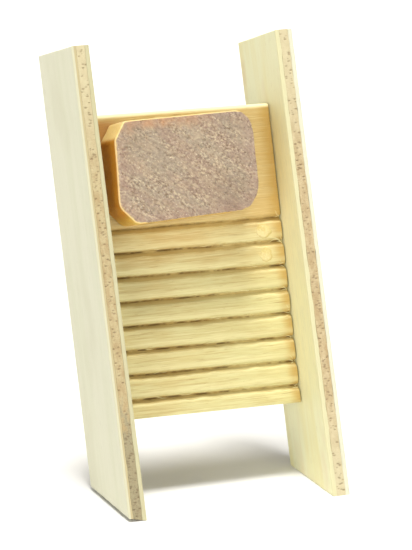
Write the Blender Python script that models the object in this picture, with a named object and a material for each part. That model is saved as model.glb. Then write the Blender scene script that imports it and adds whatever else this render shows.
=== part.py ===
"""A twelfth-scale washboard in bare wood, leaning back on its two mitred feet.

Two rails of three-ply plywood carry a milled board between them: a flat panel above,
ribs and grooves below. A bar of soap is glued on the panel. Nothing moves.

Metres, +Z up, the front faces -Y. The object stands on z = 0 with its feet flat, and the
middle of its box is over the origin. Lengths below are in millimetres and are turned
into metres by MM where the meshes are made.
"""
import math

import bmesh
import bpy
from mathutils import Matrix, Vector

MM = 0.001

# --- driving dimensions, in millimetres and degrees --------------------------------------
RAIL_LENGTH = 50.8          # along the front edge: 24 inches at 1:12
RAIL_DEPTH = 11.1           # front edge to back edge
RAIL_THICKNESS = 2.0
OVERALL_WIDTH = 25.4        # 12 inches at 1:12
VENEER = 0.48               # each face ply
GLUE_LINE = 0.02            # clearance between pieces that touch
LEAN = 19.3                 # the rails' lean back, and so the mitre of the feet
TOP_RISE = {"left": 0.55, "right": 0.25}    # how far each sawn rail top climbs to its back

BOARD_THICKNESS = 2.4
BOARD_DROP = 7.27           # rail top to the middle of the board's top, along the front edge
BOARD_SKEW = 0.27           # the board's left end sits this much higher than its right end
BOARD_RECESS = 4.07         # rail front to board front, at the board's top
BOARD_TILT = 2.1            # the board's top sits further forward than its bottom
BOARD_END_GAP = 0.14        # filled with glue, at each end
PANEL_HEIGHT = 12.49        # board top to the deepest line of the first groove
RIB_PITCH = 2.63
RIB_COUNT = 7               # full ribs; a narrower one follows at the bottom
LAST_RIB = 1.94             # deepest line of the last groove to the board's bottom edge
GROOVE_DEPTH = 0.60
GROOVE_ABOVE = 0.16         # steep wall, from a rib's lower edge in to the deepest line
GROOVE_BELOW = 0.58         # long flank, from the deepest line out to the next rib
RIB_CROWN = 0.12            # how far a rib's middle stands above its edges
CROWN_STEPS = 6

SOAP_THICKNESS = 4.8
SOAP_GLUE = 0.08            # film between the soap and the panel
# The bar is cut by hand, so its corners are given one by one: across from the middle
# of the board, and down from the middle of the board's top.
SOAP_CORNERS = (
    (-8.10, 1.03), (5.35, 0.90), (6.55, 2.40), (6.52, 9.75),
    (5.10, 11.67), (-7.85, 12.12), (-9.63, 10.14), (-9.35, 2.96),
)

SMEAR_RADIUS = 0.78         # dried glue wiped on two ribs near the right rail
SMEAR_HEIGHT = 0.06
SMEAR_FROM_RAIL = 2.40
SMEAR_ABOVE = 0.15          # above the middle of its rib
SMEAR_SIDES = 20

BOARD_LENGTH = PANEL_HEIGHT + RIB_COUNT * RIB_PITCH + LAST_RIB
INNER_WIDTH = OVERALL_WIDTH - 2 * RAIL_THICKNESS
BOARD_WIDTH = INNER_WIDTH - 2 * BOARD_END_GAP

# colour, roughness
FINISHES = {
    "veneer": ((0.86, 0.84, 0.66), 0.72),
    "ply_core": ((0.68, 0.52, 0.33), 0.85),
    "board": ((0.78, 0.62, 0.33), 0.68),
    "soap": ((0.52, 0.40, 0.33), 0.80),
    "glue": ((0.80, 0.68, 0.42), 0.30),
}


def clear_scene():
    for thing in list(bpy.data.objects):
        bpy.data.objects.remove(thing, do_unlink=True)


def make_material(name):
    colour, roughness = FINISHES[name]
    material = bpy.data.materials.new(name)
    material.use_nodes = True
    shader = material.node_tree.nodes["Principled BSDF"]
    shader.inputs["Base Color"].default_value = (*colour, 1.0)
    shader.inputs["Roughness"].default_value = roughness
    shader.inputs["Metallic"].default_value = 0.0
    return material


def extrude_outline(name, material, outline, direction):
    """A prism: the outline, in millimetres, swept along a vector in millimetres."""
    shape = bmesh.new()
    corners = [shape.verts.new(Vector(point) * MM) for point in outline]
    first = shape.faces.new(corners)
    swept = bmesh.ops.extrude_face_region(shape, geom=[first])
    moved = [item for item in swept["geom"] if isinstance(item, bmesh.types.BMVert)]
    bmesh.ops.translate(shape, verts=moved, vec=Vector(direction) * MM)
    bmesh.ops.recalc_face_normals(shape, faces=shape.faces)
    return finish_mesh(name, material, shape)


def finish_mesh(name, material, shape):
    mesh = bpy.data.meshes.new(name)
    shape.to_mesh(mesh)
    shape.free()
    mesh.materials.append(material)
    thing = bpy.data.objects.new(name, mesh)
    bpy.context.collection.objects.link(thing)
    return thing


def rail_outline(x, top_rise):
    """Side view of a rail: sawn roughly square at the top, mitred at the foot."""
    heel = RAIL_DEPTH * math.tan(math.radians(LEAN))
    back_top = RAIL_LENGTH + top_rise
    return [(x, 0, 0), (x, RAIL_DEPTH, heel), (x, RAIL_DEPTH, back_top), (x, 0, RAIL_LENGTH)]


def make_rail(side, sign, veneer, core):
    """Three plies, from the outside in."""
    core_thickness = RAIL_THICKNESS - 2 * VENEER - 2 * GLUE_LINE
    plies = (
        ("outer_veneer", VENEER, veneer),
        ("core", core_thickness, core),
        ("inner_veneer", VENEER, veneer),
    )
    rail = []
    outside = OVERALL_WIDTH / 2
    for ply, thickness, material in plies:
        name = f"{side}_rail_{ply}"
        sweep = (-sign * thickness, 0, 0)
        outline = rail_outline(sign * outside, TOP_RISE[side])
        rail.append(extrude_outline(name, material, outline, sweep))
        outside -= thickness + GLUE_LINE
    return rail


def board_profile():
    """The board's section as (depth, height) points; its front is at depth 0, its top at 0.

    The ribs' crowns are arcs that stay behind depth 0. Each groove is a lopsided V.
    """
    points = [(BOARD_THICKNESS, 0.0), (0.0, 0.0)]
    points.append((0.0, -PANEL_HEIGHT + GROOVE_ABOVE))
    for rib in range(RIB_COUNT + 1):
        groove = -PANEL_HEIGHT - rib * RIB_PITCH
        points.append((GROOVE_DEPTH, groove))
        top = groove - GROOVE_BELOW
        bottom = groove - RIB_PITCH + GROOVE_ABOVE
        if rib == RIB_COUNT:
            bottom = -BOARD_LENGTH
        for step in range(CROWN_STEPS + 1):
            share = step / CROWN_STEPS
            depth = RIB_CROWN * (2 * share - 1) ** 2
            points.append((depth, top + share * (bottom - top)))
    points.append((BOARD_THICKNESS, -BOARD_LENGTH))
    return points


def skew_at(across):
    """How much higher the skewed board is here than at its middle."""
    return -BOARD_SKEW * across / BOARD_WIDTH


def make_board(material):
    x = -BOARD_WIDTH / 2
    outline = [(x, depth, height + skew_at(x)) for depth, height in board_profile()]
    return extrude_outline("rub_board", material, outline, (BOARD_WIDTH, 0, -BOARD_SKEW))


def make_soap(material):
    outline = [(across, -SOAP_GLUE, -down) for across, down in SOAP_CORNERS]
    return extrude_outline("soap_bar", material, outline, (0, -SOAP_THICKNESS, 0))


def make_soap_glue(material):
    """The film under the bar: the bar's outline, drawn in a little from its edge."""
    film = SOAP_GLUE - 2 * GLUE_LINE
    middle = Vector((sum(x for x, _ in SOAP_CORNERS), sum(z for _, z in SOAP_CORNERS)))
    middle /= len(SOAP_CORNERS)
    outline = []
    for corner in SOAP_CORNERS:
        across, down = middle.lerp(Vector(corner), 0.93)
        outline.append((across, -GLUE_LINE, -down))
    return extrude_outline("soap_glue_film", material, outline, (0, -film, 0))


def make_end_glue(side, sign, material):
    """The film between an end of the board and the rail, behind the grooves."""
    start = sign * (BOARD_WIDTH / 2 + GLUE_LINE)
    film = BOARD_END_GAP - 2 * GLUE_LINE
    front = GROOVE_DEPTH + 0.15
    back = BOARD_THICKNESS - 0.1
    margin = 0.4
    outline = [(start, front, -margin), (start, back, -margin)]
    outline += [(start, back, margin - BOARD_LENGTH), (start, front, margin - BOARD_LENGTH)]
    return extrude_outline(f"{side}_end_glue", material, outline, (sign * film, 0, 0))


def make_smear(name, rib, material):
    """A low round cap of dried glue on the crown of one rib."""
    shape = bmesh.new()
    rib_middle = rib * RIB_PITCH + (RIB_PITCH + GROOVE_BELOW - GROOVE_ABOVE) / 2
    across = INNER_WIDTH / 2 - SMEAR_FROM_RAIL
    height = SMEAR_ABOVE - PANEL_HEIGHT - rib_middle + skew_at(across)
    centre = Vector((across, -GLUE_LINE, height))
    rings = []
    for share, rise in ((1.0, 0.0), (0.86, 0.7), (0.5, 1.0)):
        ring = []
        for side in range(SMEAR_SIDES):
            turn = math.tau * side / SMEAR_SIDES
            reach = SMEAR_RADIUS * share
            step = Vector((math.cos(turn) * reach, -rise * SMEAR_HEIGHT, math.sin(turn) * reach))
            ring.append(shape.verts.new((centre + step) * MM))
        rings.append(ring)
    for lower, upper in zip(rings, rings[1:]):
        for side in range(SMEAR_SIDES):
            following = (side + 1) % SMEAR_SIDES
            shape.faces.new((lower[side], lower[following], upper[following], upper[side]))
    shape.faces.new(rings[0])
    shape.faces.new(rings[-1])
    bmesh.ops.recalc_face_normals(shape, faces=shape.faces)
    smear = finish_mesh(name, material, shape)
    smear.data.shade_smooth()
    smear.data.set_sharp_from_angle(angle=math.radians(40))
    return smear


def build():
    clear_scene()
    materials = {name: make_material(name) for name in FINISHES}

    lean = math.radians(LEAN)
    back_top = RAIL_LENGTH + max(TOP_RISE.values())
    depth_over_all = RAIL_DEPTH * math.cos(lean) + back_top * math.sin(lean)
    stance = bpy.data.objects.new("stance", None)
    bpy.context.collection.objects.link(stance)
    stance.location = (0, -depth_over_all / 2 * MM, 0)
    stance.rotation_euler = (-lean, 0, 0)

    board_frame = bpy.data.objects.new("board_frame", None)
    bpy.context.collection.objects.link(board_frame)
    board_frame.parent = stance
    board_frame.location = (0, BOARD_RECESS * MM, (RAIL_LENGTH - BOARD_DROP) * MM)
    board_frame.rotation_euler = (math.radians(BOARD_TILT), 0, 0)

    for side, sign in (("left", -1), ("right", 1)):
        for ply in make_rail(side, sign, materials["veneer"], materials["ply_core"]):
            ply.parent = stance
        make_end_glue(side, sign, materials["glue"]).parent = board_frame

    make_board(materials["board"]).parent = board_frame
    make_soap(materials["soap"]).parent = board_frame
    make_soap_glue(materials["glue"]).parent = board_frame
    for name, rib in (("upper_glue_smear", 0), ("lower_glue_smear", 1)):
        make_smear(name, rib, materials["glue"]).parent = board_frame


build()
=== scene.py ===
"""The looks of a twelfth-scale washboard in bare wood.

Every ply, the milled board, the soap and the two smears of glue get a finer mesh than their
CAD solid, built in millimetres in the frame of the rails or of the board. Both frames are
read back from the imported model, so nothing here moves or resizes a part. The hidden films
of glue keep their CAD mesh.
"""
import math
import random
from bisect import bisect_left

import bpy
import numpy as np
from mathutils import Matrix, Vector, noise


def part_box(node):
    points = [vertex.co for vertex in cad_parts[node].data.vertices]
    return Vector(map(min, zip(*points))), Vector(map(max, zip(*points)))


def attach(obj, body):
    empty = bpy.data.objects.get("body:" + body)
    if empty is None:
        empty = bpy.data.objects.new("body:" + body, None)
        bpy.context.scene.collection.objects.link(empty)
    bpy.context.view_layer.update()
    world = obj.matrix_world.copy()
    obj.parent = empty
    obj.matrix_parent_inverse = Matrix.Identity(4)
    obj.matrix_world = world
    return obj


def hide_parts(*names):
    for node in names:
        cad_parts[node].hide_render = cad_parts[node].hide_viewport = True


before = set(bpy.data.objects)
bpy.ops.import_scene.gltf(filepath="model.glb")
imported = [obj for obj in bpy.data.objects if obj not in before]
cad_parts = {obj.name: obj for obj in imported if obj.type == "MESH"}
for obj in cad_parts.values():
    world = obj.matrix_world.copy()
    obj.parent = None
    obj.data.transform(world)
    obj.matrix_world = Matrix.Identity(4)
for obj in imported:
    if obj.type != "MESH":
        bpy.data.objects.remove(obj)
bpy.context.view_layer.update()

MM = 0.001
BODY = "root"


# --- reading the frame

def node_points(node, to_local=Matrix.Identity(4)):
    """The corners of a CAD node, in millimetres, in the frame that to_local leads to."""
    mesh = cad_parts[node].data
    return [(to_local @ vertex.co) / MM for vertex in mesh.vertices]


def read_rails():
    """The rails' frame: X across, Y from front edge to back edge, Z along the rail."""
    corners = node_points("left_rail_core")
    toe = min(corners, key=lambda point: point.y)
    head = max(corners, key=lambda point: point.z)
    lean = math.atan2(head.y - toe.y, head.z - toe.z)
    matrix = Matrix.Translation((0, toe.y * MM, toe.z * MM)) @ Matrix.Rotation(-lean, 4, "X")
    length = math.hypot(head.y - toe.y, head.z - toe.z)
    back = max(point.y for point in node_points("left_rail_core", matrix.inverted()))
    return matrix, lean, length, back


def read_board(rails):
    """The board's frame: Y from its front face to its back, Z up, from its front top edge."""
    corners = node_points("rub_board", rails.inverted())
    left = [point for point in corners if point.x < 0]
    right = [point for point in corners if point.x > 0]
    back_top = max(left, key=lambda point: point.z)
    back_bottom = max(left, key=lambda point: point.y)
    tilt = math.atan2(back_bottom.y - back_top.y, back_top.z - back_bottom.z)
    tops = [min(end, key=lambda point: point.y) for end in (left, right)]
    front_top = (tops[0] + tops[1]) / 2
    place = Matrix.Translation((0, front_top.y * MM, front_top.z * MM))
    return rails @ place @ Matrix.Rotation(tilt, 4, "X")


RAILS, LEAN, RAIL_LENGTH, RAIL_DEPTH = read_rails()
BOARD = read_board(RAILS)
TO_BOARD = BOARD.inverted()


def read_extent(node, to_local):
    """The lowest and the highest corner of a CAD node's box, in millimetres."""
    points = np.array([tuple(point) for point in node_points(node, to_local)])
    return points.min(axis=0), points.max(axis=0)


BOARD_LOW, BOARD_HIGH = read_extent("rub_board", TO_BOARD)
BOARD_HALF = BOARD_HIGH[0]
BOARD_THICKNESS = BOARD_HIGH[1]
END_RISE = max(p.z for p in node_points("rub_board", TO_BOARD) if p.x < 0 and p.y < 0.5)
BOARD_LENGTH = -BOARD_LOW[2] - END_RISE     # END_RISE: the left end is this much too high
TOP_RISE = {side: read_extent(f"{side}_rail_core", RAILS.inverted())[1][2] - RAIL_LENGTH
            for side in ("left", "right")}


def read_grooves():
    """Heights of the grooves' deepest lines, their depth, and their two edges' distances."""
    side = [p for p in node_points("rub_board", TO_BOARD) if p.x < -BOARD_HALF + 0.01]
    front = sorted((p for p in side if p.y < BOARD_THICKNESS - 0.5), key=lambda p: -p.z)
    profile = [(round(p.y, 3), round(p.z - END_RISE, 3)) for p in front]
    profile = sorted(set(profile), key=lambda p: -p[1])
    deepest = max(depth for depth, _ in profile)
    found = [i for i, (depth, _) in enumerate(profile) if depth > deepest - 0.01]
    heights = [profile[i][1] for i in found]
    above = profile[found[0] - 1][1] - heights[0]
    below = heights[0] - profile[found[0] + 1][1]
    return heights, deepest, above, below


GROOVES, GROOVE_DEPTH, GROOVE_ABOVE, GROOVE_BELOW = read_grooves()
RIB_PITCH = GROOVES[0] - GROOVES[1]


def skewed(points):
    """Points of a level board, moved up or down to where the skewed board is."""
    points = np.array(points)
    points[:, 2] -= END_RISE * points[:, 0] / BOARD_HALF
    return points


# --- small maths

def smooth(low, high, value):
    """0 below low, 1 above high, and a smooth step between."""
    share = min(max((value - low) / (high - low), 0.0), 1.0)
    return share * share * (3 - 2 * share)


def ripple(x, y, z, seed=0.0):
    """Smooth noise between about -1 and 1. One unit of input is one bump."""
    return noise.noise(Vector((x + seed * 17.3, y - seed * 9.1, z + seed * 5.7)))


# --- meshes

def boundary_loop(rows, columns):
    """Indices round the edge of a grid of rows by columns."""
    loop = [(0, c) for c in range(columns)]
    loop += [(r, columns - 1) for r in range(1, rows)]
    loop += [(rows - 1, c) for c in range(columns - 2, -1, -1)]
    loop += [(r, 0) for r in range(rows - 2, 0, -1)]
    return loop


def unit(vectors):
    return vectors / np.linalg.norm(vectors, axis=1, keepdims=True)


def slab(front, back, radius, rounding=3, rim_rows=2, back_radius=None):
    """A closed solid between two grids of points, with rounded edges.

    front and back are arrays of shape (rows, columns, 3) with sharp outlines. Returns the
    vertices and the quads.
    """
    back_radius = radius if back_radius is None else back_radius
    rows, columns = front.shape[:2]
    loop = boundary_loop(rows, columns)
    front, back = front.copy(), back.copy()
    outline_front = np.array([front[i] for i in loop])
    outline_back = np.array([back[i] for i in loop])
    thickness = np.linalg.norm(outline_back - outline_front, axis=1, keepdims=True)
    inward_axis = unit(outline_back - outline_front)

    before = unit(outline_front - np.roll(outline_front, 1, axis=0))
    after = unit(np.roll(outline_front, -1, axis=0) - outline_front)
    inward = unit(np.cross(inward_axis, before + after))
    if np.sum(inward * (outline_front.mean(axis=0) - outline_front)) < 0:
        inward = -inward
    half_turn = np.sqrt(np.clip((1 + np.sum(before * after, axis=1)) / 2, 0.4, 1.0))
    inward /= half_turn[:, None]

    def rounded_edge(outline, axis, bend):
        turns = [math.pi / 2 * step / rounding for step in range(1, rounding + 1)]
        return [outline + inward * bend * (1 - math.sin(turn)) + axis * bend * (1 - math.cos(turn))
                for turn in turns]

    loops = rounded_edge(outline_front, inward_axis, radius)
    for step in range(1, rim_rows):
        share = radius + (thickness - radius - back_radius) * step / rim_rows
        loops.append(outline_front + inward_axis * share)
    loops += reversed(rounded_edge(outline_back, -inward_axis, back_radius))
    for number, index in enumerate(loop):
        front[index] = outline_front[number] + inward[number] * radius
        back[index] = outline_back[number] + inward[number] * back_radius

    size = rows * columns
    points = np.concatenate([front.reshape(-1, 3), back.reshape(-1, 3)] + loops)
    grid = np.arange(size).reshape(rows, columns)
    quads = []
    for sheet, flip in ((grid, False), (grid + size, True)):
        corners = (sheet[:-1, :-1], sheet[:-1, 1:], sheet[1:, 1:], sheet[1:, :-1])
        faces = np.stack([corner.ravel() for corner in corners], axis=1)
        quads.append(faces[:, ::-1] if flip else faces)
    edge = np.array([r * columns + c for r, c in loop])
    chain = [edge]
    chain += [np.arange(len(loop)) + 2 * size + k * len(loop) for k in range(len(loops))]
    chain.append(edge + size)
    for upper, lower in zip(chain, chain[1:]):
        quads.append(np.stack([upper, lower, np.roll(lower, -1), np.roll(upper, -1)], axis=1))
    return outward(points, np.concatenate(quads))


def outward(points, quads):
    """Turns every face round if the closed shape is inside out."""
    a, b, c, d = (points[quads[:, k]] for k in range(4))
    volume = np.sum(np.cross(a, b) * c) + np.sum(np.cross(a, c) * d)
    return points, (quads[:, ::-1] if volume < 0 else quads)


def normals_of(points, quads):
    """The smooth normal at each point."""
    a, b, c, d = (points[quads[:, k]] for k in range(4))
    facing = np.cross(c - a, d - b)
    normals = np.zeros_like(points)
    for k in range(4):
        np.add.at(normals, quads[:, k], facing)
    lengths = np.linalg.norm(normals, axis=1, keepdims=True)
    return normals / np.maximum(lengths, 1e-12)


def displaced(points, quads, height):
    """Moves each point along its normal by height(point, normal), in millimetres."""
    normals = normals_of(points, quads)
    amounts = np.array([height(p, n) for p, n in zip(points, normals)])
    return points + normals * amounts[:, None]


def add_object(name, data):
    """A new object in the scene that shows data."""
    thing = bpy.data.objects.new(name, data)
    bpy.context.collection.objects.link(thing)
    return thing


def make_piece(name, points, faces, matrix, material, attributes=None):
    """A smooth-shaded mesh object from points in millimetres of the frame that matrix places."""
    turn = np.array(matrix.to_3x3())
    placed = np.asarray(points) @ turn.T * MM + np.array(matrix.translation)
    mesh = bpy.data.meshes.new(name)
    mesh.from_pydata(placed.tolist(), [], [list(map(int, f)) for f in faces])
    mesh.validate()
    for key, values in (attributes or {}).items():
        layer = mesh.attributes.new(key, "FLOAT", "POINT")
        layer.data.foreach_set("value", np.asarray(values, dtype=np.float32))
    mesh.shade_smooth()
    mesh.set_sharp_from_angle(angle=math.radians(50))
    mesh.materials.append(material)
    return add_object(name, mesh)


def enrol(piece, slot, *nodes):
    """Ties a piece to the frame: it rides on the one body, and stands for its nodes."""
    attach(piece, BODY)
    if nodes:
        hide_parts(*nodes)


# --- materials

def feed(socket, value):
    """Links a socket to another, or sets its value."""
    if isinstance(value, bpy.types.NodeSocket):
        socket.id_data.links.new(value, socket)
    elif socket.type == "RGBA":
        socket.default_value = (*value, 1.0)
    else:
        socket.default_value = value


def new_node(tree, kind, inputs):
    """A new shader node with these inputs linked or set."""
    node = tree.nodes.new("ShaderNode" + kind)
    for key, value in inputs.items():
        feed(node.inputs[key], value)
    return node


def map_range(tree, value, low, high, to_low, to_high):
    """A node that maps low..high to to_low..to_high, clamped."""
    return new_node(tree, "MapRange", {"Value": value, "From Min": low, "From Max": high,
                                       "To Min": to_low, "To Max": to_high})


class Finish:
    """A Principled material whose textures are laid out in millimetres of a frame."""

    def __init__(self, name, matrix=Matrix.Identity(4)):
        self.material = bpy.data.materials.new(name)
        self.material.use_nodes = True
        self.tree = self.material.node_tree
        self.shader = self.tree.nodes["Principled BSDF"]
        place = self.node("TexCoord")
        to_frame = matrix.inverted()
        mapping = self.node("Mapping", Vector=place.outputs["Object"],
                            Scale=(1 / MM, 1 / MM, 1 / MM), Rotation=to_frame.to_euler(),
                            Location=to_frame.translation / MM)
        self.millimetres = mapping.outputs["Vector"]

    def node(self, kind, **inputs):
        return new_node(self.tree, kind, inputs)

    def stretched(self, per_mm, shift=(0, 0, 0)):
        """The piece's coordinates times per_mm, so that 1 is one feature of a texture."""
        mapping = self.node("Mapping", Vector=self.millimetres, Scale=per_mm, Location=shift)
        return mapping.outputs["Vector"]

    def noise(self, per_mm, detail=3.0, rough=0.55, distortion=0.0, shift=(0, 0, 0)):
        texture = self.node("TexNoise", Vector=self.stretched(per_mm, shift), Scale=1.0,
                            Detail=detail, Roughness=rough, Distortion=distortion)
        return texture.outputs["Fac"]

    def cells(self, per_mm, shift=(0, 0, 0)):
        """Distance to the nearest of many scattered points."""
        texture = self.node("TexVoronoi", Vector=self.stretched(per_mm, shift), Scale=1.0)
        return texture.outputs["Distance"]

    def attribute(self, name):
        reader = self.node("Attribute")
        reader.attribute_name = name
        return reader.outputs["Fac"]

    def along(self, axis):
        return self.node("SeparateXYZ", Vector=self.millimetres).outputs[axis]

    def span(self, value, low, high, to_low=0.0, to_high=1.0):
        """Maps low..high to to_low..to_high, smoothly and clamped."""
        node = map_range(self.tree, value, low, high, to_low, to_high)
        node.interpolation_type = "SMOOTHSTEP"
        return node.outputs["Result"]

    def math(self, operation, a, b):
        node = self.node("Math")
        node.operation = operation
        feed(node.inputs[0], a)
        feed(node.inputs[1], b)
        return node.outputs[0]

    def product(self, first, *others):
        """Sockets or numbers multiplied together."""
        for other in others:
            first = self.math("MULTIPLY", first, other)
        return first

    def mix(self, factor, a, b):
        """Colour a where factor is 0, colour b where it is 1."""
        node = self.node("Mix", Factor=factor)
        node.data_type = "RGBA"
        feed(node.inputs[6], a)
        feed(node.inputs[7], b)
        return node.outputs[2]

    def tinted(self, colour, *tints):
        """Each tint is (texture, where it starts, where it is full, how strong, colour)."""
        for texture, low, high, most, tint in tints:
            colour = self.mix(self.span(texture, low, high, 0.0, most), colour, tint)
        return colour

    def marked(self, colour, *marks):
        """Each mark is (name of a painted attribute, how strong, colour)."""
        for name, strength, mark in marks:
            colour = self.mix(self.product(self.attribute(name), strength), colour, mark)
        return colour

    def surface(self, colour, roughness):
        feed(self.shader.inputs["Base Color"], colour)
        feed(self.shader.inputs["Roughness"], roughness)

    def bump(self, *layers):
        """Each layer is (height socket, size in millimetres)."""
        normal = None
        for height, size in layers:
            node = self.node("Bump", Strength=1.0, Distance=size * MM, Height=height)
            if normal is not None:
                feed(node.inputs["Normal"], normal)
            normal = node.outputs["Normal"]
        feed(self.shader.inputs["Normal"], normal)


def veneer_finish(name, pale, warm, streak, shift, sawn=None, bright=None, seam=None):
    """Pale rotary-cut face veneer: fine lengthwise grain, broad soft figure, short pores.

    Three colours can be given for parts of it: sawn for the front edge, bright, a painted
    light, for the stretch of the face beside the board, and seam for the half of the front
    edge that is next to the core, which only fits the left rail's outer veneer.
    """
    finish = Finish(name, RAILS)
    place = (shift, shift * 0.7, shift * 1.3)
    figure = finish.noise((0.5, 0.5, 0.035), 2.0, shift=place)
    fibre = finish.noise((7.0, 7.0, 0.30), 4.0, 0.6, shift=place)
    cloud = finish.noise((0.25, 0.25, 0.10), 2.0, shift=place)
    pores = finish.noise((10.0, 10.0, 0.9), 1.0, shift=place)
    colour = finish.tinted(pale, (figure, 0.42, 0.66, 1.0, warm),
                           (cloud, 0.50, 0.74, 0.45, streak), (fibre, 0.50, 0.75, 0.22, streak))
    dark = tuple(channel * 0.72 for channel in streak)
    height = finish.along("Z")
    # Painted light: beside the board the face is made lighter, where the rails and the board cast
    # shade.
    if bright is not None:
        beside = finish.product(finish.span(height, 6.0, 15.0),
                                finish.span(height, 47.0, 40.0, 0.0, 0.8))
        brightened = finish.tinted(bright, (fibre, 0.3, 0.7, 1.0, pale))
        colour = finish.mix(beside, colour, brightened)
    colour = finish.tinted(colour, (pores, 0.68, 0.80, 0.55, dark))
    if sawn is not None:
        edge = finish.span(finish.along("Y"), 0.20, 0.06)
        colour = finish.mix(edge, colour, sawn)
        if seam is not None:
            seam_start = 0.21 - RAIL_SPREAD
            inner_half = finish.span(finish.along("X"), seam_start, seam_start + 0.09)
            colour = finish.mix(finish.product(edge, inner_half), colour, seam)
    finish.surface(colour, finish.span(fibre, 0.3, 0.8, 0.55, 0.78))
    finish.bump((figure, 0.03), (fibre, 0.022), (pores, 0.010))
    return finish.material


def core_finish(name, light, tan, dark, foot, shift):
    """The sawn edge of the core ply, which shows end grain: stipple and open pores.

    foot is the colour of a grimy foot. Where there is none, the foot is bleached instead.
    """
    finish = Finish(name, RAILS)
    place = (shift, 0.0, shift * 1.7)
    mottle = finish.noise((1.6, 1.6, 0.7), 3.0, shift=place)
    stipple = finish.noise((9.0, 9.0, 7.0), 4.0, 0.7, shift=place)
    lines = finish.noise((1.2, 1.2, 9.0), 2.0, shift=place)
    height = finish.along("Z")
    bleached = (0.63, 0.57, 0.36)
    colour = finish.tinted(light, (mottle, 0.35, 0.65, 1.0, tan), (stipple, 0.50, 0.72, 0.55, dark),
                           (lines, 0.58, 0.72, 0.45, dark), (height, 33.0, 48.0, 0.65, bleached))
    if foot is None:
        colour = finish.tinted(colour, (height, 15.0, 1.0, 0.70, bleached))
    else:
        uneven = finish.math("ADD", height, finish.span(mottle, 0.3, 0.7, -2.5, 2.5))
        grimy = finish.span(uneven, 13.0, 8.5, 0.0, 0.75)
        colour = finish.mix(grimy, colour, foot)
        spots = finish.product(grimy, finish.span(stipple, 0.54, 0.66, 0.0, 0.8))
        colour = finish.mix(spots, colour, (0.11, 0.085, 0.05))
    colour = finish.marked(colour, ("pore", 0.50, (0.17, 0.10, 0.045)))
    finish.surface(colour, finish.span(stipple, 0.3, 0.7, 0.72, 0.92))
    finish.bump((mottle, 0.03), (stipple, 0.035), (lines, 0.015))
    return finish.material


def board_finish(name):
    """Straw-coloured softwood with its grain across, darker in its grooves by painted shade."""
    finish = Finish(name, BOARD)
    fibre = finish.noise((0.45, 9.0, 9.0), 4.0, 0.62)
    threads = finish.noise((0.16, 3.2, 3.2), 3.0, 0.6, 0.3, (9.0, 3.0, 1.0))
    cloud = finish.noise((0.14, 0.30, 0.30), 2.0, shift=(4.0, 0.0, 0.0))
    hairs = finish.noise((0.22, 11.0, 11.0), 2.0, 0.5, 0.4, (2.0, 5.0, 8.0))
    flecks = finish.noise((1.3, 12.0, 12.0), 1.0, shift=(0.0, 7.0, 2.0))
    cracks = finish.noise((0.26, 6.0, 6.0), 2.0, 0.5, 0.6, (2.0, 5.0, 8.0))
    across, height = finish.along("X"), finish.along("Z")
    straw, gold, orange = (0.62, 0.53, 0.245), (0.57, 0.43, 0.17), (0.50, 0.32, 0.10)
    colour = finish.tinted(straw, (cloud, 0.36, 0.68, 1.0, gold), (threads, 0.52, 0.66, 0.60, gold),
                           (threads, 0.46, 0.34, 0.35, (0.74, 0.68, 0.36)),
                           (fibre, 0.50, 0.74, 0.35, orange))
    # Painted light: the lower ribs are made lighter and yellower, more so towards the right.
    lower_right_painted_light = finish.product(finish.span(height, -13.0, -21.5),
                           finish.span(across, -9.0, 4.0, 0.30, 0.56))
    colour = finish.mix(lower_right_painted_light, colour, (0.63, 0.60, 0.27))
    colour = finish.marked(colour, ("panel", 0.55, (0.57, 0.395, 0.14)))
    colour = finish.tinted(colour, (hairs, 0.54, 0.68, 0.50, (0.44, 0.29, 0.09)),
                           (hairs, 0.44, 0.32, 0.35, (0.78, 0.72, 0.40)),
                           (flecks, 0.71, 0.81, 0.5, (0.34, 0.20, 0.06)),
                           (cracks, 0.66, 0.73, 0.55, (0.36, 0.22, 0.06)))
    # Browner ends, partly a glue stain and partly painted shade; pale adds a painted highlight on
    # the ribs and the hairs' own paleness.
    colour = finish.marked(colour, ("end", 0.80, (0.53, 0.33, 0.075)),
                           ("pale", 0.42, (0.80, 0.73, 0.38)))
    # Painted shade on the board beside the soap's upper left corner.
    soap_corner_painted_shade = finish.product(finish.span(across, -5.5, -8.9, 0.0, 0.90),
                           finish.span(height, -0.2, -1.0), finish.span(height, -5.0, -3.4))
    colour = finish.mix(soap_corner_painted_shade, colour, (0.46, 0.22, 0.05))
    # Painted shade in the grooves, on their lower flanks, their bottoms and a thin line along their
    # deepest line; top is a painted highlight on the rounded top edge.
    colour = finish.marked(colour, ("flank_painted_shade", 1.0, (0.57, 0.415, 0.145)),
                           ("groove_bottom_painted_shade", 0.65, (0.34, 0.20, 0.035)),
                           ("groove_line_painted_shade", 1.0, (0.17, 0.10, 0.02)), ("top", 1.0, (0.88, 0.83, 0.52)))
    finish.surface(colour, finish.span(fibre, 0.3, 0.7, 0.52, 0.74))
    finish.bump((threads, 0.035), (fibre, 0.03), (hairs, 0.02), (flecks, 0.015))
    return finish.material


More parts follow.
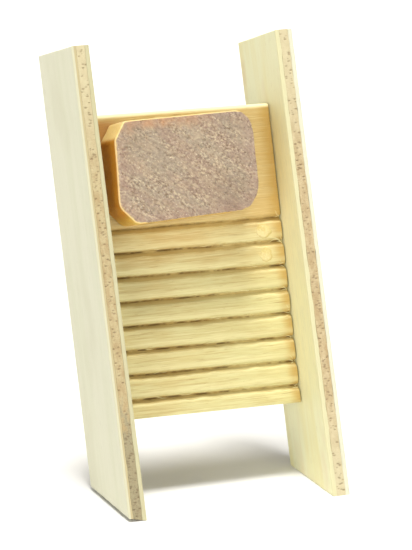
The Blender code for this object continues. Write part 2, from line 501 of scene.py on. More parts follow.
def soap_finish(name):
    """Honey-coloured soap whose broad face has dried to a rough mauve-brown crust."""
    finish = Finish(name, BOARD)
    cloud = finish.noise((0.5, 0.5, 0.9), 3.0)
    cuts = finish.noise((1.5, 9.0, 1.5), 3.0)
    honey = finish.tinted((0.78, 0.50, 0.115), (cloud, 0.35, 0.65, 1.0, (0.70, 0.42, 0.07)),
                          (cuts, 0.55, 0.75, 0.35, (0.80, 0.58, 0.22)))
    # Painted shade darkens the lower left side beside the left rail; the front rim and upper sides
    # are lighter, partly the bar's own colour and partly a painted highlight.
    honey = finish.marked(honey, ("left_side_painted_shade", 0.9, (0.54, 0.20, 0.008)),
                          ("arris", 0.65, (0.85, 0.69, 0.34)))

    turn = finish.node("VectorRotate", Vector=finish.millimetres, Angle=SLANT)
    turn.rotation_type = "Y_AXIS"
    finish.millimetres = turn.outputs["Vector"]
    bands = finish.noise((0.11, 0.5, 0.55), 2.0, 0.5)
    streaks = finish.noise((0.60, 3.0, 2.0), 3.0, 0.65)
    crumbs = finish.noise((3.1, 4.0, 4.3), 4.0, 0.76)
    rows = finish.noise((0.30, 1.0, 1.3), 2.0, 0.5, shift=(3.0, 0.0, 6.0))
    specks = finish.cells((1.5, 1.5, 1.9))
    holes = finish.cells((1.2, 1.2, 1.6), (5.3, 0.0, 2.1))
    mauve, sand, grey = (0.322, 0.23, 0.165), (0.41, 0.31, 0.207), (0.33, 0.263, 0.187)
    crust = finish.tinted(mauve, (bands, 0.40, 0.60, 1.0, grey), (streaks, 0.46, 0.60, 0.65, sand))
    gritty = finish.span(rows, 0.40, 0.62, 0.45, 1.0)
    light = finish.product(finish.span(crumbs, 0.52, 0.60, 0.0, 0.80), gritty)
    deep = finish.product(finish.span(crumbs, 0.475, 0.39, 0.0, 0.90), gritty)
    crust = finish.mix(light, crust, (0.58, 0.47, 0.31))
    crust = finish.mix(deep, crust, (0.19, 0.125, 0.072))
    crust = finish.tinted(crust, (specks, 0.14, 0.07, 0.60, (0.74, 0.64, 0.46)),
                          (holes, 0.12, 0.06, 0.85, (0.13, 0.08, 0.045)))
    crust = finish.marked(crust, ("dark_patch", 1.0, (0.215, 0.155, 0.10)),
                          ("rim", 0.22, (0.36, 0.215, 0.165)), ("ember", 0.45, (0.56, 0.28, 0.11)))
    crusty = finish.attribute("crust")
    finish.surface(finish.mix(crusty, honey, crust), finish.span(crusty, 0.2, 0.8, 0.42, 0.88))
    for key, value in (("Weight", 0.12), ("Radius", (1.0, 0.45, 0.15)), ("Scale", 0.6 * MM)):
        finish.shader.inputs["Subsurface " + key].default_value = value
    finish.bump((streaks, 0.045), (crumbs, 0.05))
    return finish.material


def glue_finish(name):
    """Dried clear glue: straw-coloured, glossy, and browner in places round its rim."""
    finish = Finish(name, BOARD)
    cloud = finish.noise((1.5, 1.5, 1.5), 2.0)
    swirl = finish.noise((4.0, 4.0, 4.0), 3.0, 0.6, 0.8)
    # The lighter swirls are a painted sheen.
    colour = finish.tinted((0.66, 0.56, 0.235), (cloud, 0.35, 0.65, 1.0, (0.61, 0.49, 0.185)),
                           (swirl, 0.54, 0.70, 0.45, (0.76, 0.69, 0.36)))
    broken = finish.span(swirl, 0.46, 0.62, 0.0, 0.6)
    colour = finish.marked(colour, ("rim", broken, (0.42, 0.29, 0.09)))
    finish.surface(colour, finish.span(swirl, 0.3, 0.7, 0.16, 0.38))
    finish.shader.inputs["Coat Weight"].default_value = 0.4
    finish.shader.inputs["Coat Roughness"].default_value = 0.12
    finish.bump((cloud, 0.02), (swirl, 0.01))
    return finish.material


# --- plywood rails

FOOT_SLOPE = math.tan(LEAN)
FOOT_CLEARANCE = 0.012      # kept between a sawn foot and the table, in mm
SEAM_WANDER = 0.05          # how far the glue lines between plies wander, in mm
VENEER_ROUNDING = 0.11      # radius of the sanded edges of the rails
ASKEW_FOOT = 0.38           # how far the left foot's outer edge is sawn too short
PORE_REACH = 0.4            # no pore reaches further than this along the rail, in mm
RAIL_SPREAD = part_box("right_rail_outer_veneer")[1].x / MM


def foot_lift(x):
    """The left foot is sawn a little askew, so that its outer edge clears the table."""
    inner_face = -BOARD_HALF
    return ASKEW_FOOT * smooth(inner_face, -RAIL_SPREAD, x) if x < 0 else 0.0


def rail_grid(x, rows, columns, seam=None):
    """One face of a ply, as points across the rail's depth and along its length."""
    top_rise = TOP_RISE["left" if x < 0 else "right"]
    grid = np.zeros((rows, columns, 3))
    for c in range(columns):
        deep = RAIL_DEPTH * c / (columns - 1)
        foot = deep * FOOT_SLOPE + foot_lift(x) + FOOT_CLEARANCE
        top = RAIL_LENGTH + top_rise * c / (columns - 1)
        for r in range(rows):
            along = foot + (top - foot) * r / (rows - 1)
            wander = 0.0
            if seam is not None:
                wander = SEAM_WANDER * ripple(along * 0.9, deep * 0.9, 0.0, seam)
            grid[r, c] = (x + wander, deep, along)
    return grid


class Pores:
    """Open pores on the front and back edges of a core ply."""

    def __init__(self, low_x, high_x, seed):
        draw = random.Random(seed)
        self.edges = {}
        for edge in ("front", "back"):
            pores = []
            along = 0.6
            while along < RAIL_LENGTH - 0.4:
                across = draw.uniform(low_x + 0.10, high_x - 0.10)
                size = draw.uniform(0.035, 0.085)
                depth = draw.uniform(0.03, 0.10)
                pores.append((along, across, size, depth))
                along += draw.expovariate(1 / 0.30) + 0.06
            self.edges[edge] = pores

    def depth_at(self, point, edge):
        """How deep the pores are at a point, in mm, and how dark, from 0 to 1."""
        pores = self.edges[edge]
        start = bisect_left(pores, (point[2] - PORE_REACH,))
        deepest, dark = 0.0, 0.0
        for along, across, size, depth in pores[start:]:
            if along > point[2] + PORE_REACH:
                break
            away = math.hypot(point[2] - along, (point[0] - across) * 0.5) / size
            if away < 1.6:
                dip = 1 - smooth(0.5, 1.5, away)
                deepest = max(deepest, dip * depth)
                dark = max(dark, dip)
        return deepest, dark


def edge_side(point):
    """Which sawn edge a point is on, if either."""
    if point[1] < 0.02:
        return "front"
    if point[1] > RAIL_DEPTH - 0.02:
        return "back"
    return None


def make_core(side, material, seed):
    """A core ply, whose sawn edges lie a little back and are full of pores."""
    node = f"{side}_rail_core"
    low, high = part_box(node)
    low_x, high_x = low.x / MM, high.x / MM
    rows, columns, rim_rows = 760, 9, 14
    left = rail_grid(low_x, rows, columns, seed)
    right = rail_grid(high_x, rows, columns, seed + 1)
    points, quads = slab(left, right, 0.012, 1, rim_rows)
    pores = Pores(low_x, high_x, seed)
    dark = np.zeros(len(points))
    for number, point in enumerate(points):
        edge = edge_side(point)
        if edge is None:
            continue
        depth, dark[number] = pores.depth_at(point, edge)
        fuzz = 0.02 * ripple(point[0] * 5, 0, point[2] * 5, seed)
        dip = depth + max(0.0, 0.03 + fuzz)
        points[number, 1] += dip if edge == "front" else -dip
    piece = make_piece(f"{side}_rail_core_ply", points, quads, RAILS, material, {"pore": dark})
    enrol(piece, "ply_core", node)


def make_veneer(side, ply, material, seed):
    """A face veneer: sanded outer arris, fuzzy sawn edges, a faint washboard of grain."""
    node = f"{side}_rail_{ply}_veneer"
    low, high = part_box(node)
    low_x, high_x = low.x / MM, high.x / MM
    outward_x = high_x if abs(high_x) > abs(low_x) else low_x
    face_x = outward_x if ply == "outer" else low_x + high_x - outward_x
    seam_x = low_x + high_x - face_x
    rows, columns = 300, 30
    face = rail_grid(face_x, rows, columns)
    seam = rail_grid(seam_x, rows, columns, seed)
    points, quads = slab(face, seam, VENEER_ROUNDING, 4, 4, 0.025)
    sign = 1 if face_x > seam_x else -1

    def relief(point, normal):
        x, deep, along = point
        on_face = max(0.0, normal[0] * sign)
        on_edge = max(abs(normal[1]), abs(normal[2]))
        grain = 0.007 * ripple(0, deep * 6, along * 0.22, seed)
        grain += 0.008 * ripple(0, deep * 0.8, along * 0.06, seed + 2)
        worn = 0.02 * (0.5 + 0.5 * ripple(x, deep, along * 0.8, seed + 3))
        saw = 0.014 * ripple(x * 7, deep * 2, along * 3.0, seed + 4)
        return on_face * (grain - 0.008) + on_edge * (saw - worn)

    points = displaced(points, quads, relief)
    piece = make_piece(f"{side}_rail_{ply}_face_ply", points, quads, RAILS, material)
    enrol(piece, "veneer", node)


def make_rails():
    """Both rails; each core has its own look, the right inner veneer painted light, the left one
    partly painted shade.
    """
    cream, cloudy, streak = (0.66, 0.645, 0.485), (0.635, 0.625, 0.455), (0.58, 0.56, 0.395)
    # Its front edge's sawn colour is darker than its face: partly the edge's own colour, partly
    # painted shade on an edge the lights catch.
    left_outer = veneer_finish("left_outer_veneer", cream, cloudy, streak, 3.0,
                               sawn=(0.58, 0.555, 0.385), seam=(0.49, 0.41, 0.225))
    right_outer = veneer_finish("right_outer_veneer", cream, cloudy, streak, 3.0)
    # Darker and yellower than the outer veneers: partly the sawn edge's own colour, partly painted
    # shade.
    left_inner = veneer_finish("left_inner_veneer_partly_painted_shade", (0.52, 0.49, 0.30), (0.50, 0.465, 0.27),
                               (0.46, 0.37, 0.19), 11.0)
    # Lighter than the outer veneers, and lighter still beside the board: painted light.
    right_inner = veneer_finish("right_inner_veneer_painted_light", (0.76, 0.75, 0.49), (0.74, 0.70, 0.39),
                                (0.66, 0.49, 0.29), 19.0, sawn=(0.63, 0.59, 0.35),
                                bright=(0.88, 0.83, 0.48))
    light, tan, dark = (0.51, 0.42, 0.23), (0.43, 0.32, 0.16), (0.29, 0.19, 0.085)
    left_core = core_finish("left_core", light, tan, dark, (0.285, 0.25, 0.15), 5.0)
    right_core = core_finish("right_core", (0.56, 0.45, 0.26), (0.45, 0.33, 0.17), dark, None, 9.0)
    for side, core, inner, outer, seed in (
            ("left", left_core, left_inner, left_outer, 11),
            ("right", right_core, right_inner, right_outer, 23)):
        make_core(side, core, seed)
        make_veneer(side, "outer", outer, seed)
        make_veneer(side, "inner", inner, seed + 1)


# --- the milled board

LIP = 0.10                  # rounding where a rib turns into a groove, in mm
TOP_ROUNDING = 0.40         # radius of the board's worn top edge
CROWN = 0.10                # how far a rib's middle stands above its edges
UPPER_REACH = 0.35          # how far over its upper edge a groove owns the wood
BOARD_COLUMNS = 110         # points across; the board stays under 200,000 triangles


def groove_offset(height):
    """How far this height is above the deepest line of the groove it belongs to, and which."""
    for number, groove in enumerate(GROOVES):
        if height > groove - RIB_PITCH + GROOVE_ABOVE + UPPER_REACH:
            return height - groove, number
    return height - GROOVES[-1], len(GROOVES) - 1


def board_heights():
    """Rows from the top edge down, close together at the grooves and wider between."""
    heights = [0.0]
    while heights[-1] > -BOARD_LENGTH + 0.02:
        offset, _ = groove_offset(heights[-1] - 0.02)
        nearness = 1 - smooth(0.30, 1.0, abs(offset + 0.2))
        heights.append(heights[-1] - (0.17 - 0.137 * nearness))
    heights[-1] = -BOARD_LENGTH
    return heights


def rounding_depth(away, radius):
    """How far a rounded edge has fallen back, this far in from the sharp edge."""
    if away >= radius:
        return 0.0
    return radius - math.sqrt(max(radius ** 2 - (radius - away) ** 2, 0.0))


def rib_crest(offset, lower):
    """Between two grooves: how far the crowned rib lies back, and how strong its painted highlight
    is.
    """
    below = -offset - lower
    if offset >= 0:
        below += RIB_PITCH
    place = min(max(below / (RIB_PITCH - GROOVE_BELOW - GROOVE_ABOVE), 0.0), 1.0)
    upper_edge = smooth(0.55, 0.80, place) * smooth(1.0, 0.88, place)
    return CROWN * (2 * place - 1) ** 2, max(upper_edge, 0.9 * smooth(0.17, 0.03, place))


def board_front(across, height):
    """The depth of the board's front, in mm, and how marked it is there, from 0 to 1.

    Towards the right the grooves get shallower and narrower and their painted shade fainter,
    and next to the right rail their bottoms carry more painted shade. The first groove, under
    the panel, has a fainter line of painted shade than the others.
    """
    offset, number = groove_offset(height)
    to_right = smooth(-5.0, 7.0, across + 3.0 * ripple(number * 3.7, 0, 3.0))
    unevenness = 0.14 * ripple(across * 0.4, number * 3.1, 0)
    full_depth = GROOVE_DEPTH * (0.90 - 0.22 * to_right + unevenness)
    chips = ripple(across * 1.7, number * 5.3, 1.0) + 0.7 * ripple(across * 6.0, number * 2.7, 4.0)
    raised = 0.08 - 0.06 * to_right if number > 0 else 0.0
    offset -= 0.05 * ripple(across * 0.3, number * 6.1, 8.0) + raised
    upper = GROOVE_ABOVE * (1.15 + 0.45 * chips)
    lower = GROOVE_BELOW * (0.88 - 0.13 * to_right + 0.22 * ripple(across * 0.8, number * 4.4, 7.0))
    reach, power = (upper, 1.7) if offset >= 0 else (lower, 1.15)
    share = abs(offset) / reach
    lip = LIP * (1 - smooth(0.0, 0.24, abs(offset) - reach)) ** 2
    dig = 0.0
    if share < 1:
        dig = full_depth * (1 - share ** power)
        lip = LIP
    crown, pale = 0.0, 0.0
    if offset < 0 or number > 0:
        crown, pale = rib_crest(offset, lower) if share >= 1 else (CROWN, 0.0)

    near_end = smooth(2.4 if number in (1, 2) else 1.3, 0.4, BOARD_HALF - across)
    patch = 0.62 + 0.75 * ripple(across * 0.55, number * 7.7, 2.0)
    patch = max(patch + 0.45 * ripple(across * 2.6, number * 3.9, 5.0), near_end)
    line = ripple(across * 0.7, number * 2.3, 6.0) + 0.8 * ripple(across * 3.0, number * 9.1, 1.0)
    groove_line_painted_shade = min(max(0.50 - 0.62 * to_right + 1.2 * line + near_end, 0.0), 0.78)
    groove_line_painted_shade *= (0.55 if number == 0 else 1.0) * smooth(0.13, 0.02, abs(offset - 0.02))
    dug = dig / full_depth
    # Painted shade in the grooves: on their bottoms, on their lower flanks, and as a thin line
    # along the deepest line, which is also dug a little deeper.
    marks = {
        "groove_bottom_painted_shade": smooth(0.50, 0.95, dug) * min(max(patch - 0.25 * to_right, 0.10), 1.0),
        "flank_painted_shade": smooth(0.02, 0.35, dug) * min(0.66 - 0.34 * to_right + 0.5 * near_end, 0.9),
        # A painted highlight along the ribs' top and lower part.
        "pale": pale,
        "groove_line_painted_shade": groove_line_painted_shade,
    }
    worn = rounding_depth(-height, TOP_ROUNDING) + rounding_depth(BOARD_LENGTH + height, 0.15)
    return dig + lip + crown + worn + 0.12 * groove_line_painted_shade, marks


def end_wear(across, height):
    """How much the board's ends are broken away, in mm, and how brown: partly glue stain, partly
    painted shade.
    """
    away = BOARD_HALF - abs(across)
    most = 0.05 if across > 0 else 0.14
    wear = most * (1 - smooth(0.0, 0.35, away)) * (0.7 + 0.6 * ripple(height * 1.3, across, 2.0))
    ragged = 0.35 * ripple(height * 1.1, 0, 5.0) + 0.2 * ripple(height * 4.0, 0, 3.0)
    width = 1.8 if height > GROOVES[0] else 1.45
    # Browner at the right end, partly a glue stain and partly painted shade against the rail, and a
    # little at the left end, painted shade.
    brown = smooth(width, 0.30, away + ragged) if across > 0 else 0.25 * smooth(1.0, 0.1, away)
    return max(wear, 0.0), brown


def make_board(material):
    """The board: a milled and marked front, and a plain back."""
    heights = board_heights()
    rows, columns = len(heights), BOARD_COLUMNS
    front = np.zeros((rows, columns, 3))
    back = np.zeros((rows, columns, 3))
    keys = ("groove_bottom_painted_shade", "flank_painted_shade", "panel", "pale", "end", "groove_line_painted_shade", "top")
    painted = {key: np.zeros((rows, columns)) for key in keys}
    for r, height in enumerate(heights):
        inside = smooth(0.0, 0.3, -height) * smooth(0.0, 0.3, height + BOARD_LENGTH)
        for c in range(columns):
            across = -BOARD_HALF + 2 * BOARD_HALF * c / (columns - 1)
            warp = 0.04 * ripple(across * 0.25, height * 0.45, 3.0) * inside
            depth, marks = board_front(across, height)
            wear, marks["end"] = end_wear(across, height)
            marks["panel"] = smooth(GROOVES[0] - 0.3, GROOVES[0] + 0.2, height)
            # A painted highlight along the board's rounded top edge.
            marks["top"] = 0.9 * smooth(TOP_ROUNDING + 0.05, TOP_ROUNDING - 0.15, -height)
            grain = 0.016 * ripple(across * 0.35, height * 6.0, 0.0)
            grain += 0.014 * ripple(across * 1.2, height * 14.0, 6.0)
            front[r, c] = (across, depth + wear + 0.02 + grain, height + warp)
            back[r, c] = (across, BOARD_THICKNESS - 0.01, height + warp)
            for key in keys:
                painted[key][r, c] = marks[key]
    points, quads = slab(front, back, 0.02, 2, 8)
    size = rows * columns
    others = len(points) - size
    attributes = {key: np.concatenate([grid.ravel(), np.zeros(others)])
                  for key, grid in painted.items()}

    def relief(point, normal):
        along_grain = 0.012 * ripple(point[0] * 0.4, point[1] * 6, point[2] * 6, 8)
        return along_grain - 0.01

    points[size:] = displaced(points, quads, relief)[size:]
    piece = make_piece("milled_rub_board", skewed(points), quads, BOARD, material, attributes)
    enrol(piece, "board", "rub_board")


# --- loose fibres

class Fibres:
    """Hairs and curls of torn wood, gathered into one mesh of tapered tubes."""

    SIDES = 6

    def __init__(self):
        self.points, self.faces = [], []

    def add(self, path, radius):
        """A tube along path, thickest in its first half and tapering to its far end."""
        path = [Vector(point) for point in path]
        first = len(self.points)
        count = len(path)
        for i, centre in enumerate(path):
            ahead = path[min(i + 1, count - 1)] - path[max(i - 1, 0)]
            side = ahead.cross(Vector((0.3, 1.0, 0.2))).normalized()
            other = ahead.cross(side).normalized()
            share = i / (count - 1)
            thick = radius * max(0.12, math.sin(math.pi * min(1.0, 0.12 + 0.88 * share)))
            for k in range(self.SIDES):
                turn = 2 * math.pi * k / self.SIDES
                point = centre + (side * math.cos(turn) + other * math.sin(turn) * 0.6) * thick
                self.points.append(tuple(point))
        for i in range(count - 1):
            for k in range(self.SIDES):
                a = first + i * self.SIDES + k
                b = first + i * self.SIDES + (k + 1) % self.SIDES
                self.faces.append((a, b, b + self.SIDES, a + self.SIDES))
        last = first + (count - 1) * self.SIDES
        self.faces.append(tuple(first + k for k in reversed(range(self.SIDES))))
        self.faces.append(tuple(last + k for k in range(self.SIDES)))

    def finish(self, name, matrix, material, slot):
        pale = {"pale": np.ones(len(self.points))}
        piece = make_piece(name, skewed(self.points), self.faces, matrix, material, pale)
        enrol(piece, slot)


def arc(start, heading, length, rise, curl, steps=9):
    """A path that leaves start along heading, lifts off the wood by rise and curls."""
    path = []
    for i in range(steps):
        share = i / (steps - 1)
        across = start[0] + math.cos(heading) * length * share
        up = start[2] + math.sin(heading) * length * share + curl * math.sin(math.pi * share)
        path.append((across, start[1] - rise * math.sin(math.pi * share * 0.8), up))
    return path


def make_board_fibres(material):
    """Hairs along the rib edges, and the curls torn up next to the right rail."""
    draw = random.Random(41)
    fibres = Fibres()
    for groove in GROOVES:
        for _ in range(9):
            across = draw.uniform(-BOARD_HALF + 0.4, BOARD_HALF - 0.6)
            upper_edge = draw.random() < 0.7
            height = groove + (0.20 if upper_edge else -0.55)
            length = draw.uniform(0.35, 1.3)
            heading = draw.choice((0.0, math.pi)) + draw.uniform(-0.18, 0.18)
            start = (across, 0.16, height)
            fibres.add(arc(start, heading, length, draw.uniform(0.05, 0.14),
                           draw.uniform(-0.08, 0.05)), draw.uniform(0.018, 0.032))
        for _ in range(4):
            start = (BOARD_HALF - draw.uniform(0.1, 0.5), 0.10, groove + draw.uniform(-0.3, 0.3))
            heading = draw.uniform(1.9, 3.6)
            fibres.add(arc(start, heading, draw.uniform(0.3, 0.8), draw.uniform(0.06, 0.16),
                           draw.uniform(-0.15, 0.15)), draw.uniform(0.022, 0.036))
    curl_x, curl_z = BOARD_HALF - 0.15, GROOVES[1]
    fibres.add(arc((curl_x, 0.05, curl_z - 0.3), 2.75, 1.9, 0.30, 0.28, 14), 0.060)
    fibres.add(arc((curl_x - 0.2, 0.08, curl_z + 0.1), 3.3, 1.5, 0.22, 0.22, 12), 0.045)
    fibres.add(arc((curl_x, 0.2, GROOVES[4] + 0.3), 2.2, 0.9, 0.16, 0.10, 10), 0.038)
    fibres.finish("board_milling_fibres", BOARD, material, "board")


# --- dried glue

def make_smear(node, material, seed, wide):
    """A dab of glue smeared on a rib's crest: a thin dome with a thicker, uneven rim.

    wide says how many times wider than its CAD node it is smeared along the rib.
    """
    low, high = read_extent(node, TO_BOARD)
    middle_x, middle_z = (low[0] + high[0]) / 2, (low[2] + high[2]) / 2
    middle_z += END_RISE * middle_x / BOARD_HALF
    radius = (high[0] - low[0]) / 2
    rings, sides = 14, 56
    points, faces, rim_marks = [], [], []
    for back in (False, True):
        depth = board_front(middle_x, middle_z)[0]
        points.append((middle_x, depth + (0.08 if back else -0.035), middle_z))
        rim_marks.append(0.0)
        for ring in range(1, rings + 1):
            share = ring / rings
            for k in range(sides):
                turn = 2 * math.pi * k / sides
                uneven = 1 + 0.34 * ripple(math.cos(turn) * 1.6, math.sin(turn) * 1.6, 0, seed)
                x = middle_x + math.cos(turn) * radius * share * uneven * wide
                z = middle_z + math.sin(turn) * radius * share * uneven
                depth = board_front(x, z)[0]
                rim = 0.016 * math.exp(-((share - 0.80) / 0.14) ** 2)
                skin = 0.022 * (1 - share ** 3) + rim
                skin += 0.010 * ripple(x * 3, z * 3, 0, seed)
                points.append((x, depth + (0.08 if back else 0.012 - skin), z))
                rim_marks.append(smooth(0.74, 0.95, share))
    sheet = 1 + rings * sides
    for back in (0, sheet):
        for k in range(sides):
            after = (k + 1) % sides
            faces.append((back, back + 1 + k, back + 1 + after))
            for ring in range(rings - 1):
                a = back + 1 + ring * sides
                faces.append((a + k, a + sides + k, a + sides + after, a + after))
    edge = 1 + (rings - 1) * sides
    for k in range(sides):
        after = (k + 1) % sides
        faces.append((edge + k, sheet + edge + k, sheet + edge + after, edge + after))
    faces = [face[::-1] if max(face) >= sheet and min(face) >= sheet else face for face in faces]
    piece = make_piece(node + "_skin", skewed(points), faces, BOARD, material,
                       {"rim": rim_marks})
    enrol(piece, "glue", node)


# --- soap

def soap_outline():
    """The bar's corners in order round it, their middle, and its front's and back's depths."""
    corners = node_points("soap_bar", TO_BOARD)
    nearest = min(point.y for point in corners)
    found = {(round(p.x, 3), round(p.z, 3)) for p in corners if p.y < nearest + 0.01}
    middle = np.mean(list(found), axis=0)
    ordered = sorted(found, key=lambda p: math.atan2(p[1] - middle[1], p[0] - middle[0]))
    deepest = max(point.y for point in corners)
    return np.array(ordered), middle, nearest, deepest


def rounded(corners, radii, per_corner=7, per_side=14):
    """A closed outline with each corner rounded by its own radius."""
    points = []
    count = len(corners)

    def toward(i, j):
        step = corners[j % count] - corners[i % count]
        length = np.linalg.norm(step)
        return corners[i % count] + step / length * min(radii[i % count], 0.45 * length)

    for i in range(count):
        start, corner, end = toward(i, i - 1), corners[i], toward(i, i + 1)
        for step in range(per_corner + 1):
            t = step / per_corner
            points.append((1 - t) ** 2 * start + 2 * t * (1 - t) * corner + t ** 2 * end)
        side = toward(i + 1, i)
        for step in range(1, per_side):
            points.append(end + (side - end) * step / per_side)
    return np.array(points)


def resampled(outline, count):
    """The outline as count points at equal distances."""
    closed = np.vstack([outline, outline[:1]])
    steps = np.linalg.norm(np.diff(closed, axis=0), axis=1)
    travelled = np.concatenate([[0], np.cumsum(steps)])
    wanted = np.linspace(0, travelled[-1], count, endpoint=False)
    return np.stack([np.interp(wanted, travelled, closed[:, k]) for k in range(2)], axis=1)


def disc_grid(outline, size):
    """A square grid of points that fills a closed outline, with each one's distance out."""
    loop = boundary_loop(size, size)
    ring = resampled(outline, len(loop))
    middle = ring.mean(axis=0)
    half = (size - 1) / 2
    grid = np.zeros((size, size, 2))
    reach = np.zeros((size, size))
    for r in range(size):
        for c in range(size):
            a, b = (c - half) / half, (r - half) / half
            out = max(abs(a), abs(b))
            reach[r, c] = out
            if out == 0:
                grid[r, c] = middle
                continue
            edge_a, edge_b = a / out * half + half, b / out * half + half
            grid[r, c] = middle + out * (ring_point(ring, edge_a, edge_b, size) - middle)
    return grid, reach


def ring_point(ring, column, row, size):
    """The outline's point that a place on the square's edge stands for."""
    last = size - 1
    if row < 1e-9:
        place = column
    elif column > last - 1e-9:
        place = last + row
    elif row > last - 1e-9:
        place = 2 * last + (last - column)
    else:
        place = 3 * last + (last - row)
    place %= len(ring)
    first = int(place)
    share = place - first
    return ring[first] * (1 - share) + ring[(first + 1) % len(ring)] * share


SLANT = math.radians(-40)   # how the bands on the soap's face run down to the right
SOAP_EDGE = 0.16            # radius of the soap's cut edges


def along_slant(x, z):
    """Coordinates along and across the slanting bands of the soap's face."""
    return (x * math.cos(SLANT) + z * math.sin(SLANT),
            z * math.cos(SLANT) - x * math.sin(SLANT))


def make_soap(material):
    """The bar: smooth cut sides, and a rough crust with pits on its broad face."""
    corners, middle, front_depth, back_depth = soap_outline()
    low = corners[:, 1].min()
    radii = [1.1 if x > 0 else (0.55 if z < low + 2.5 else 0.35) for x, z in corners]
    size = 141
    grid, reach = disc_grid(rounded(corners, radii), size)
    inner = middle + (grid - middle) * 0.972
    for index in boundary_loop(size, size):
        inner[index] = grid[index]

    def sheet(depth):
        return np.stack([inner[..., 0], np.full((size, size), depth), inner[..., 1]], axis=2)

    points, quads = slab(sheet(front_depth + 0.04), sheet(back_depth), SOAP_EDGE, 4, 22)
    flat = points.copy()
    half_height = (corners[:, 1].max() - corners[:, 1].min()) / 2
    top = corners[:, 1].max()
    from_edge = np.zeros(len(points))
    from_edge[:size * size] = (1 - reach.ravel() * 0.972) * half_height
    crust = np.array([
        smooth(0.07, 0.19, away + 0.05 * ripple(p[0] * 2, 0, p[2] * 2, 6)
               + 0.35 * smooth(-7.4, -5.8, p[0]) * smooth(top - 0.05, top - 0.5, p[2]))
        * smooth(0.24, 0.12, p[1] - front_depth)
        for p, away in zip(flat, from_edge)])

    def relief(point, crusty):
        if crusty == 0.0:
            cut = 0.035 * ripple(point[0] * 0.9, point[1] * 0.5, point[2] * 0.9, 1)
            return cut + 0.015 * ripple(point[0] * 3, point[1] * 5, point[2] * 3, 2) - 0.03
        along, cross = along_slant(point[0], point[2])
        rough = 0.035 * ripple(along * 1.0, 0, cross * 2.6, 3)
        rough += 0.040 * ripple(along * 3.6, 0, cross * 4.6, 4)
        pit = smooth(0.36, 0.55, ripple(along * 1.9, 0, cross * 2.4, 9))
        return crusty * (rough + 0.01 - 0.09 * pit) - 0.03

    normals = normals_of(points, quads)
    for i, crusty in enumerate(crust):
        points[i] += normals[i] * relief(flat[i], crusty)
    ember = [smooth(top - 1.7, top - 0.3, p[2] + 0.9 * ripple(p[0] * 1.3, 0, p[2] * 1.3, 6))
             * smooth(3.0, -2.0, p[0]) * (0.75 + 0.7 * ripple(p[0] * 1.1, 0, 0, 9)) for p in flat]
    # Soft darker patches on the crust, the largest at the lower right.
    dark_patch_spots = ((0.30, -0.30, 2.6, 0.34), (-0.38, 0.25, 1.7, 0.26), (0.38, 0.38, 1.4, 0.18))
    width, height = np.ptp(corners[:, 0]), np.ptp(corners[:, 1])
    dark_patch = np.zeros(len(flat))
    for right, up, radius, strength in dark_patch_spots:
        away = np.hypot(flat[:, 0] - middle[0] - right * width,
                        flat[:, 2] - middle[1] - up * height) / radius
        dark_patch = np.maximum(dark_patch, strength * np.exp(-away ** 2))
    attributes = {
        "crust": crust,
        "rim": [smooth(1.3, 0.3, away) * crusty for away, crusty in zip(from_edge, crust)],
        "ember": ember,
        "dark_patch": dark_patch * crust,
        # Painted shade on the lower left side, beside the left rail.
        "left_side_painted_shade": [smooth(-2.5, -3.1, p[2]) * smooth(-8.2, -8.9, p[0]) for p in flat],
        # A lighter front rim and upper sides: partly the bar's own colour, partly a painted
        # highlight.
        "arris": [max(smooth(front_depth + 0.38, front_depth + 0.12, p[1]),
                      0.75 * smooth(top - 2.2, top - 1.7, p[2])) for p in flat],
    }
    piece = make_piece("soap_bar_cut_block", points, quads, BOARD, material, attributes)
    enrol(piece, "soap", "soap_bar")


# --- camera, light, floor

CAMERA_AZIMUTH = math.radians(-21.8)
CAMERA_ELEVATION = math.radians(15.1)
CAMERA_DISTANCE = 406.4     # millimetres from the aim point
CAMERA_LENS = 246.9
AIM_DEPTH, AIM_RIGHT, AIM_UP = -0.933, 1.014, -2.748
TENT_WALL, TENT_TOP = 1.0, 0.20    # brightness of the light tent at the floor and overhead
TENT_FADE = (0.12, 0.34)    # the heights, as a direction's Z, between which it fades
FLOOR_REACH = 8.0           # metres


def make_camera():
    """A camera at the photograph's viewing angle."""
    azimuth, elevation = CAMERA_AZIMUTH, CAMERA_ELEVATION
    back = Vector((math.sin(azimuth) * math.cos(elevation),
                   -math.cos(azimuth) * math.cos(elevation), math.sin(elevation)))
    right = Vector((math.cos(azimuth), math.sin(azimuth), 0))
    up = back.cross(right)
    aim = Vector((0, AIM_DEPTH, RAIL_LENGTH / 2)) + right * AIM_RIGHT + up * AIM_UP
    data = bpy.data.cameras.new("camera")
    data.lens = CAMERA_LENS
    data.clip_start, data.clip_end = 0.01, 20
    camera = add_object("camera", data)
    camera.location = (aim + back * CAMERA_DISTANCE) * MM
    camera.rotation_mode = "QUATERNION"
    camera.rotation_quaternion = (-back).to_track_quat("-Z", "Y")
    bpy.context.scene.camera = camera


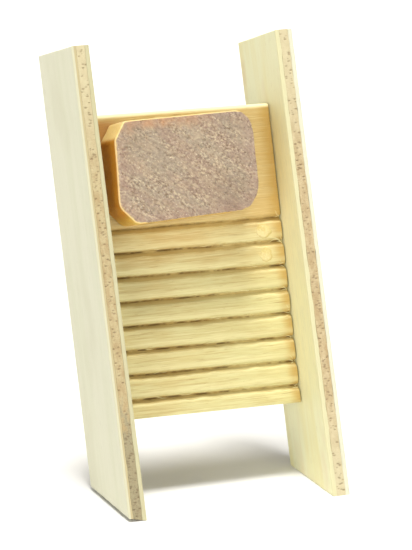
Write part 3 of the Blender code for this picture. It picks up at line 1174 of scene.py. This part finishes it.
def make_sun(name, strength, angle, direction, colour):
    """A soft distant light that shines along direction."""
    data = bpy.data.lights.new(name, "SUN")
    data.energy = strength
    data.angle = math.radians(angle)
    data.color = colour
    light = add_object(name, data)
    light.rotation_mode = "QUATERNION"
    light.rotation_quaternion = Vector(direction).to_track_quat("-Z", "Y")


def make_studio():
    """A light tent, bright at the floor and dim overhead, with soft suns and a pale floor."""
    scene = bpy.context.scene
    scene.view_settings.view_transform = "Standard"
    world = bpy.data.worlds.new("studio")
    world.use_nodes = True
    tree = world.node_tree
    background = tree.nodes["Background"]
    direction = new_node(tree, "TexCoord", {}).outputs["Generated"]
    upward = new_node(tree, "SeparateXYZ", {"Vector": direction}).outputs["Z"]
    fade = map_range(tree, upward, *TENT_FADE, TENT_WALL, TENT_TOP)
    feed(background.inputs["Color"], (1.0, 0.99, 0.97))
    feed(background.inputs["Strength"], fade.outputs["Result"])
    scene.world = world
    make_sun("softbox_above", 3.7, 21, (0.03, 0.018, -1.0), (1.0, 0.985, 0.955))
    make_sun("fill_left", 1.0, 35, (1.0, 0.8, -0.24), (1.0, 0.99, 0.97))
    make_sun("fill_front", 1.12, 50, (-0.1, 1.0, -0.09), (1.0, 0.985, 0.96))

    mesh = bpy.data.meshes.new("floor")
    quarters = ((-1, -1), (1, -1), (1, 1), (-1, 1))
    corners = [(x * FLOOR_REACH, y * FLOOR_REACH, 0) for x, y in quarters]
    mesh.from_pydata(corners, [], [(0, 1, 2, 3)])
    floor = add_object("floor", mesh)
    finish = Finish("pale_floor")
    grain = finish.noise((0.4, 0.4, 0.4), 3.0)
    finish.surface(finish.mix(grain, (0.90, 0.90, 0.895), (0.92, 0.92, 0.915)), 0.9)
    mesh.materials.append(finish.material)


# --- all together

make_camera()
make_studio()
make_rails()
board_wood = board_finish("board_wood")
glue = glue_finish("dried_glue")
make_board(board_wood)
make_board_fibres(board_wood)
make_soap(soap_finish("soap_honey_and_crust"))
make_smear("upper_glue_smear", glue, 1, 1.2)
make_smear("lower_glue_smear", glue, 2, 1.0)
for node in ("left_end_glue", "right_end_glue", "soap_glue_film"):
    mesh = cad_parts[node].data
    mesh.materials.clear()
    mesh.materials.append(glue)
